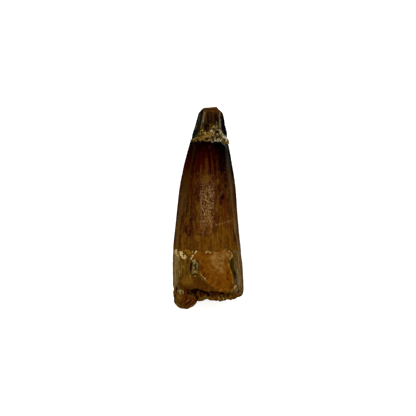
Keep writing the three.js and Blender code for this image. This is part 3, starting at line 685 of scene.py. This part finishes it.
tip = {
    "voxel": 0.14, "calm": 3,
    "relief": {"ribs": 0.05, "fine": 0.03, "flake": 0.12, "hollow": 0.5, "end": 0.05},
    # the flake's two edges, then the outline, as places along the tip and values there
    "flakeLeft": [
        (22, -5.6), (22.8, -4.8), (24.3, -3.8), (25.6, -3), (26.5, -2.6), (28.4, -2), (30.2, -1.75),
        (32.2, -1.9), (33.4, -1.5)],
    "flakeRight": [(23.5, 6.4), (24.6, 5.2), (25.9, 4.6), (26.8, 4.4), (29, 4.45), (31.9, 4.6), (33.4, 4.3)],
    "rightSide": [(24, 0.1), (25.5, 0.13), (27.5, 0), (29, 0.17), (30.7, 0.27), (31.4, 0.33), (32.2, 0.1)],
    "leftFoot": [(22.5, 0.6), (23.6, 0.4), (24.3, 0.26), (25.4, 0.2), (26.6, 0.05), (27.5, 0)],
    # soft marks (half width, share, points) and dark lines (half width, depth, points)
    "greys": [
        (0.34, 0.95, (-1.16, 31.55), (-1.6, 29.7), (-1.75, 28.5)), (0.1, 0.6, (-1.45, 32.4), (-1.3, 31.6)),
        (0.24, 1, (3.95, 29.2), (4, 26.8)), (0.24, 0.9, (3.97, 31.8), (3.86, 30.7), (3.92, 29.2)),
        (0.14, 0.7, (2.97, 28.5), (3, 27.4)), (0.16, 0.55, (-1.95, 28.3), (-2.4, 26.5)),
        (0.1, 0.75, (-2.89, 30.7), (-3.47, 28.5), (-4.1, 26)), (0.06, 0.6, (-2.4, 31.2), (-3, 28.3)),
        (0.07, 0.6, (-3.7, 28.9), (-4.2, 27)), (0.06, 0.5, (-2.5, 29.5), (-2.95, 27.3))],
    "browns": [
        (0.22, 0.8, (-0.76, 32.6), (-0.69, 30), (-0.79, 28.5)),
        (0.12, 0.7, (-2.3, 30.2), (-2.8, 27.7), (-3.2, 25.8)), (0.2, 0.6, (1.7, 32), (1.75, 28.8)),
        (0.3, 0.5, (0.5, 27.5), (1.6, 27.3)), (0.16, 0.7, (-1.9, 28), (-2.2, 26.9))],
    "reds": [(0.2, 0.75, (0.5, 30.9), (0.6, 29)), (0.26, 0.9, (3.6, 32.3), (3.7, 31.7)),
             (0.14, 0.7, (2.85, 32.1), (2.78, 31.6)), (0.16, 0.5, (3.1, 31.2), (3.2, 30.2))],
    "darks": [
        (0.16, 0.14, (-0.17, 30.9), (0, 29.9), (0.25, 28.5), (0.33, 27.85)),
        (0.26, 0.08, (2.65, 31), (2.64, 29.7)), (0.16, 0.05, (1.16, 31.6), (1.2, 31.2)),
        (0.14, 0.06, (3.2, 29.9), (3.3, 28.6)), (0.1, 0.05, (4, 30.1), (4, 29.6)),
        (0.34, 0.08, (-1.95, 32.2), (-2.15, 31.05), (-2.3, 29.7), (-2.5, 28.7)),
        (0.26, 0.06, (-2.5, 28.35), (-2.75, 27), (-2.95, 26)),
        (0.2, 0.06, (-1.2, 27), (-0.9, 27.35), (-0.2, 27.65)),
        (0.1, 0.05, (-0.3, 32.3), (1, 32.5), (2.2, 32.7)), (0.14, 0.04, (4.75, 31.5), (4.85, 28.6)),
        (0.1, 0.04, (-3.1, 30.6), (-3.75, 27.6)), (0.1, 0.04, (2.2, 28.6), (2.25, 27.9))],
    # a hollow under the flake, dark at its rim and red-brown inside
    "hollow": [(-1.25, 27), (-0.9, 27.35), (-0.3, 27.65), (0.4, 27.45), (0.35, 26.7), (0.25, 26.15),
               (0.45, 25.7), (0.25, 25), (-0.35, 24.75), (-0.7, 25), (-0.85, 25.6), (-1.25, 25.8)],
    # tones at places along the tip, and the cap's across it
    "tones": {
        "dentine": [(25.5, "#46360c"), (27.2, "#3e2c08"), (28.4, "#1e0e02"), (29.5, "#200b02"),
                    (30.6, "#221003"), (31.6, "#341e05"), (32.4, "#583208")],
        "left": [(22.5, "#020303"), (23.8, "#021a18"), (25, "#041210"), (26, "#140c06"), (29, "#1c120c"),
                 (33, "#120c08")],
        "right": [(23.5, "#01010e"), (25.5, "#020412"), (28, "#010310"), (29.2, "#040406"), (33, "#0c0806")],
        "pallor": [(25.5, "#5c5a42"), (28.6, "#68644a"), (29.4, "#645234"), (32.5, "#6e5a3e")],
        "cap": [(-0.6, "#46300c"), (0.4, "#66390c"), (2.2, "#764616"), (3.2, "#4c2608")],
    },
}


def makeTip():
    piece = bodyOf("tip", "tipBody", tip)
    places, normals = pointsOf(piece)
    x, y, z = places.T
    flow = flowOf(places, 24)
    # the cut-off end leans left and rises to the right, the sides follow the outline, the left foot goes down
    x -= 0.2 * ease(31.8, 33.0, y) + 0.4 * ease(-1.0, 2.0, x) * ease(32.1, 33.2, y)
    y += 0.34 * ease(32.4, 33.4, y) * ease(0.0, 3.2, x)
    x += sideShift(tip["rightSide"], y, flow[:, 0])
    x -= sideShift(tip["leftFoot"], y, -flow[:, 0])
    y -= 0.9 * ease(24.4, 23.5, y) * ease(1.0, 4.0, -x)
    front = ease(-0.1, 0.3, normals[:, 2])
    ribs = swell(flow[:, 0], y * 0.08, flow[:, 2], 0.9, 2.0)
    fine = swell(x, y, z, 0.5, 4.0)
    wx = x + 0.12 * swell(x, y, z, 0.8, 8.0)
    under = (1 - front) * 3
    flake = np.minimum(wx - follow(tip["flakeLeft"], y), follow(tip["flakeRight"], y) - wx) - under
    end = ease(0.35, 0.7, normals[:, 1])
    dark, depth = nearestRun(tip["darks"], wx, y)
    hollow = insideOf(tip["hollow"], wx, y)
    relief = tip["relief"]
    height = relief["ribs"] * ribs * (1 - end) + relief["fine"] * fine
    height -= relief["flake"] * ease(0.0, 0.25, flake) * ease(1.4, 0.5, flake) * (1 - end)
    height -= front * (depth * ease(-0.15, 0.2, dark) + relief["hollow"] * ease(-0.05, 0.35, hollow))
    height += relief["end"] * swell(x, y, z, 1.0, 6.0) * end
    raisePoints(piece, places, normals, height)
    keepFields(piece, flow=flow, flake=flake, end=end, dark=dark - under, hollow=hollow - under)
    keepMarks(piece, tip, ("greys", "browns", "reds"), wx, y, front)
    return piece


def paintTip():
    b = Board("fossilTip")
    tones = tip["tones"]
    flow = b.field("flow", vector=True)
    across = b.parts(flow)[0]
    streak = b.grain(flow, 0.9, (1, 0.08, 1), 3.0)
    thread = b.grain(flow, 0.9, (1.6, 0.2, 1.6), 3.0, shift=3.0)
    speck = b.grain(b.place, 0.5, detail=2.0)
    blotch = b.grain(b.place, 0.9, detail=3.0, shift=5.0)
    flake = b.field("flake")

    # bare dentine between a teal flank and a navy one
    dentine = b.ramp(b.y + blotch * 0.3, tones["dentine"])
    mottle = thread + blotch * 0.5
    dentine.lay(mottle.ease(0.1, 0.9) * 0.3, "#402004")
    dentine.lay(mottle.ease(-0.2, -1.0) * 0.6, "#160502")
    corner = (b.x + blotch * 0.2).ease(2.9, 3.5) * b.y.ease(31.4, 32.0)
    dentine.lay(corner * 0.7, "#5c2c06")
    teal = b.ramp(b.y + streak * 0.5, tones["left"])
    teal.lay((streak + thread * 0.4).ease(0.2, 0.9) * b.y.ease(24.6, 26.0) * 0.6, "#4a4436")
    teal.lay((streak + speck * 0.5).ease(0.5, 1.1) * b.y.ease(25.6, 24.6) * 0.8, "#1c3c38")
    navy = b.ramp(b.y + blotch * 0.5, tones["right"])
    enamel = b.mix(across.ease(-1.0, 1.0), teal, navy)
    tone = b.mix((flake + speck * 0.08).ease(-0.05, 0.06), enamel, dentine)

    # worn marks, the brown cap on the cut-off end, dark lines and the hollow
    worn = 1.0 + speck * 0.35 + thread * 0.4
    tone.lay((b.field("browns") * worn).ease(0.1, 0.9) * 0.85, "#4e3216")
    tone.lay((b.field("reds") * worn).ease(0.1, 0.9) * 0.85, "#562204")
    pallor = b.dim(b.ramp(b.y, tones["pallor"]), 1.0 + thread * 0.25)
    tone.lay((b.field("greys") * worn).ease(0.1, 0.95) * 0.95, pallor)
    capped = b.field("end").ease(0.3, 0.8) * (b.x + blotch * 0.2).ease(-2.0, -1.4) * b.x.ease(4.2, 3.8)
    edge = (b.y - b.x * 0.07 + blotch * 0.08).ease(32.85, 33.0).most((b.x + blotch * 0.2).ease(2.6, 3.1))
    cap = b.mix(edge, "#34240a", b.ramp(b.x + blotch * 0.3, tones["cap"]))
    tone.lay(capped * b.y.ease(31.5, 32.0) * 0.9, cap)
    tone.lay((b.field("dark") + speck * 0.08).ease(-0.1, 0.1) * 0.92, "#0a0203")
    hollow = b.field("hollow")
    inside = b.mix((b.x - b.y * 0.3 + blotch * 0.4).ease(-8.2, -7.4), "#200a04", "#4c240a")
    inside = b.mix(hollow.ease(0.1, 0.3), "#0a0404", inside)
    tone.lay((hollow + speck * 0.1).ease(-0.15, 0.1), inside)
    tone = b.dim(tone, 1.0 + streak * 0.12 + speck * 0.16 + thread * 0.1)

    bare = flake.ease(-0.05, 0.1)
    relief = streak * 0.4 + speck * 0.4 + blotch * 0.3
    roughness = 0.3 + bare * 0.2 + speck * 0.04
    gloss = {"Specular Tint": (1.0, 0.8, 0.6, 1.0), "Specular IOR Level": 0.3}
    return b.finish(tone, roughness, b.bump(relief, 0.04), 0.25 - bare * 0.22, **gloss)


tipBody = makeTip()
tipBody.data.materials.append(paintTip())
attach(tipBody, "root")
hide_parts("tip")
print("tip made,", len(tipBody.data.polygons), "faces")


# the sandy crust in the break

crust = {
    "voxel": 0.17, "calm": 3,
    # how far the body is swollen, its lumps, and how far it goes down to close most of the gap to the crown
    "swollen": 0.1, "lumps": 0.14, "fine": 0.07, "closing": 0.24,
    # the grains: size, how many on a square millimetre, the least and the most of it that each way takes
    "grainSize": 0.5, "perSquare": 9.0, "seed": 5, "least": (0.4, 0.4, 0.4), "most": (1.4, 1.3, 1.2),
    # a point inside, which the grains face away from, and the names of the soft marks
    "middle": (0.8, 0, 5.6), "marks": ("yellows", "pales", "duns"),
    # its edge towards the tip: points past it are drawn back to it
    "topEdge": [
        (-6, 22.2), (-5.4, 22.5), (-4.8, 22.8), (-3.8, 24.3), (-3.5, 25.6), (-3.1, 26), (-2.6, 26.5),
        (-1.6, 26), (-1.2, 25.7), (-0.8, 24.9), (-0.3, 24.6), (0.3, 24.9), (0.6, 25.8), (1.1, 26.5),
        (1.8, 27.3), (2.6, 27.4), (3.4, 26.7), (4.3, 25.8), (5, 24.6), (6.2, 22.9), (7.5, 22)],
    # soft marks: yellow, pale, brown and purplish patches
    "yellows": [(0.5, 0.7, (-4.5, 22.9), (-1.2, 23)), (0.25, 0.9, (6.5, 22.8), (6.65, 21.3)),
                (-0.2, 24.1, 2, 1, 0.95), (-3.4, 24.8, 0.5, 0.5, 0.5)],
    "pales": [
        (0.6, 1, (4.1, 25.9), (4.4, 24.6), (5.2, 23.6), (6.1, 22.7)),
        (0.3, 0.9, (2.3, 22.5), (3.3, 22.3), (4.4, 21.5)), (0.3, 0.7, (0.9, 25.3), (1.6, 24.9)),
        (2.5, 26.6, 0.7, 0.4, 0.3), (-3.3, 25.3, 0.4, 0.3, 0.8), (-3.9, 24.6, 0.3, 0.5, 0.5),
        (3.3, 24, 0.6, 0.4, 0.5)],
    "duns": [
        (0.2, 0.9, (-0.2, 22.8), (-0.1, 22.1)), (0.3, 0.7, (1.2, 26), (1.6, 25.8)),
        (5.35, 22.6, 0.35, 0.3, 1), (3.2, 25.1, 0.7, 0.5, 0.85), (1.9, 22.9, 0.5, 0.4, 0.6),
        (1.5, 23.4, 0.7, 0.35, 0.6), (3.5, 23.3, 0.5, 0.3, 0.6), (-2.6, 24.4, 0.4, 0.25, 0.5),
        (4.6, 22.4, 0.3, 0.25, 0.5), (1, 26.4, 0.5, 0.5, 0.6)],
    # tones from the darkest grain to the lightest; the crust's body between the grains takes the dark end, a
    # painted shade in the gaps
    "tones": {
        "sand": [(-0.3, "#1a0c02"), (0.1, "#362206"), (0.4, "#583f0f"), (0.7, "#785f24"), (0.95, "#9e874a"),
                 (1.3, "#c6b684")],
        "yellow": [(-0.3, "#341c04"), (0.1, "#5c3c0a"), (0.5, "#846424"), (0.9, "#aa8a40"), (1.3, "#ceb874")],
        "pale": [(-0.3, "#42361a"), (0.1, "#8a7c54"), (0.5, "#b8ae84"), (0.9, "#dad4b4"), (1.3, "#eeebd2")],
        "dun": [(-0.3, "#140604"), (0.4, "#341c10"), (0.9, "#50382a"), (1.3, "#7c6450")],
    },
}


def makeCrust():
    piece = bodyOf("sand_band", "sandCrust", crust)
    places, normals = pointsOf(piece)
    x, y, z = places.T
    front = ease(-0.2, 0.3, normals[:, 2])
    x -= 0.45 * ease(5.2, 6.8, x) * ease(23.2, 22.2, y)  # the right side in, then both sides in near the tip
    x += ease(22.3, 23.2, y) * (0.75 * ease(-2.6, -3.8, x) - 0.5 * ease(2.6, 4.2, x))
    lumps = swell(x, y, z, 0.9, 1.0)
    upper = ease(3.0, 5.0, z)
    past = y - follow(crust["topEdge"], x) + 0.15 * swell(x, y, z, 0.5, 6.0)
    y -= 0.92 * np.maximum(past, 0) * upper
    z -= 1.3 * ease(-1.6, 0.2, past) * upper
    y -= crust["closing"] * ease(0.3, 0.8, -normals[:, 1])
    height = crust["swollen"] + crust["lumps"] * lumps + crust["fine"] * swell(x, y, z, 0.4, 2.0)
    raisePoints(piece, places, normals, height)
    # grains lie on what faces away from the middle, short of the top edge and clear of the ground
    away = places - crust["middle"]
    away[:, 1] = 0
    away /= np.linalg.norm(away, axis=1)[:, None] + 1e-9
    outward = (normals * away).sum(1)
    cover = ease(0.0, 0.3, outward + ease(0.3, 0.8, normals[:, 1]) * 0.3) * ease(0.4, 0.9, z)
    keepFields(piece, cover=cover * (1 - ease(0.0, 0.4, past) * upper))
    keepMarks(piece, crust, crust["marks"], x + 0.25 * lumps, y + 0.2 * lumps, front)
    return piece


def makeGrain():
    bpy.ops.object.select_all(action="DESELECT")
    bpy.ops.mesh.primitive_ico_sphere_add(subdivisions=1, radius=crust["grainSize"] / 2 * mm)
    grain = bpy.context.object
    for point in grain.data.vertices:
        point.co *= 1 + 0.3 * noise.noise(point.co / mm * 9)
    bpy.ops.object.shade_smooth()
    return grain


def scatter(piece, grain):
    group = bpy.data.node_groups.new("scatter", "GeometryNodeTree")
    group.interface.new_socket("Geometry", in_out="INPUT", socket_type="NodeSocketGeometry")
    group.interface.new_socket("Geometry", in_out="OUTPUT", socket_type="NodeSocketGeometry")

    def add(kind, settings={}, inputs={}):
        made = group.nodes.new(kind)
        for key, value in settings.items():
            setattr(made, key, value)
        for key, value in inputs.items():
            if isinstance(value, bpy.types.NodeSocket):
                group.links.new(value, made.inputs[key])
            else:
                made.inputs[key].default_value = value
        return made.outputs

    def named(name):
        return add("GeometryNodeInputNamedAttribute", {"data_type": "FLOAT"}, {"Name": name})["Attribute"]

    def store(geometry, domain, name, value):
        told = {"Geometry": geometry, "Name": name, "Value": value}
        return add("GeometryNodeStoreNamedAttribute", {"data_type": "FLOAT", "domain": domain}, told)[0]

    def chance(kind, seed, **ends):
        return add("FunctionNodeRandomValue", {"data_type": kind}, {**ends, "Seed": seed})

    body = add("NodeGroupInput")[0]
    perSquareMetre = crust["perSquare"] / mm ** 2
    density = add("ShaderNodeMath", {"operation": "MULTIPLY"}, {0: named("cover"), 1: perSquareMetre})[0]
    spread = {"Mesh": body, "Density": density, "Seed": crust["seed"]}
    points = add("GeometryNodeDistributePointsOnFaces", {}, spread)["Points"]
    for name in crust["marks"]:
        points = store(points, "POINT", name + "Here", named(name))
    turn = chance("FLOAT_VECTOR", 1, Min=(0, 0, 0), Max=(6.28, 6.28, 6.28))[0]
    size = chance("FLOAT_VECTOR", 2, Min=crust["least"], Max=crust["most"])[0]
    shape = add("GeometryNodeObjectInfo", {}, {"Object": grain})["Geometry"]
    laid = {"Points": points, "Instance": shape, "Rotation": turn, "Scale": size}
    placed = add("GeometryNodeInstanceOnPoints", {}, laid)[0]
    marked = store(placed, "INSTANCE", "grain", chance("FLOAT", 3)[1])  # a number from 0 to 1 for each grain
    loose = add("GeometryNodeRealizeInstances", {}, {"Geometry": marked})[0]
    both = add("GeometryNodeJoinGeometry", {}, {0: body})
    group.links.new(loose, both[0].node.inputs[0])
    add("NodeGroupOutput", {}, {0: both[0]})
    pick(piece)
    step = piece.modifiers.new("scatter", "NODES")
    step.node_group = group
    bpy.ops.object.modifier_apply(modifier=step.name)
    bpy.data.objects.remove(grain)


def paintCrust():
    b = Board("fossilSand")
    blotch = b.grain(b.place, 0.9, detail=3.0)
    patch = b.grain(b.place, 1.6, detail=3.0, shift=5.0)
    speck = b.grain(b.place, 0.4, detail=2.0, shift=3.0)
    # the body between the grains reads 0 here and takes the dark end of the tones: painted shade in the gaps
    value = b.field("grain") * 1.15 + blotch * 0.3 - 0.1
    tone, yellow, pale, dun = (b.ramp(value, stops) for stops in crust["tones"].values())
    # the marks lie on the body and, with Here in their names, on the grains
    yellows, pales, duns = (b.field(name).most(b.field(name + "Here")) for name in crust["marks"])
    tone.lay((patch + blotch * 0.4).ease(0.3, 1.0) * b.x.ease(0.0, 2.0) * 0.5, pale)
    tone.lay(yellows.ease(0.1, 0.8), yellow)
    tone.lay(pales.ease(0.1, 0.8), pale)
    tone.lay(duns.ease(0.2, 0.8) * 0.9, dun)
    tone = b.dim(tone, 1.0 + speck * 0.15)
    return b.finish(tone, 0.9, b.bump(speck, 0.015), 0.1, **{"Specular IOR Level": 0.2})


sandCrust = makeCrust()
scatter(sandCrust, makeGrain())
sandCrust.data.materials.clear()
sandCrust.data.materials.append(paintCrust())
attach(sandCrust, "root")
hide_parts("sand_band")
print("crust made,", len(sandCrust.data.polygons), "faces")


# floor and light

studio = {
    "floor": "#f6f6f4", "floorSize": 4, "below": 0.00005, "floorGlow": 0.25, "room": 0.75,
    # in metres: place, size across and along, watts, and what the lamp points at
    "lamps": {
        "key": ((-0.012, 0.178, 0.5), (0.46, 0.14), 2.1, (0.0, 0.0, 0.01)),
        "beyondTip": ((0.0, 0.75, 0.45), (1.0, 0.4), 4.5, (0.0, 0.0, 0.0)),
        "beyondRoot": ((0.0, -0.6, 0.5), (1.0, 0.4), 3.6, (0.0, 0.0, 0.0)),
    },
}

bpy.ops.object.select_all(action="DESELECT")
bpy.ops.mesh.primitive_plane_add(size=studio["floorSize"], location=(0, 0, -studio["below"]))
floor = bpy.context.object
floor.name = "floor"
floor.data.materials.append(bpy.data.materials.new("plainFloor"))
floor.data.materials[0].use_nodes = True
plain = floor.data.materials[0].node_tree.nodes["Principled BSDF"].inputs
plain["Base Color"].default_value = tint(studio["floor"])
plain["Roughness"].default_value = 0.9
plain["Specular IOR Level"].default_value = 0.1
plain["Emission Color"].default_value = (1, 1, 1, 1)
plain["Emission Strength"].default_value = studio["floorGlow"]  # keeps the shadow at the root's end faint
floor.visible_glossy = False  # so that the gloss shows the lamps alone

for name, (at, size, watts, aim) in studio["lamps"].items():
    light = bpy.data.lights.new(name, "AREA")
    light.shape = "RECTANGLE"
    light.size, light.size_y = size
    light.energy = watts
    lamp = bpy.data.objects.new(name, light)
    lamp.location = at
    lamp.rotation_euler = (Vector(aim) - Vector(at)).to_track_quat("-Z", "Y").to_euler()
    bpy.context.collection.objects.link(lamp)

world = bpy.data.worlds.new("softRoom")
world.use_nodes = True
room = world.node_tree.nodes["Background"].inputs
room["Color"].default_value = (1, 1, 1, 1)
room["Strength"].default_value = studio["room"]
world.cycles_visibility.glossy = False
bpy.context.scene.world = world
print("floor and light set")
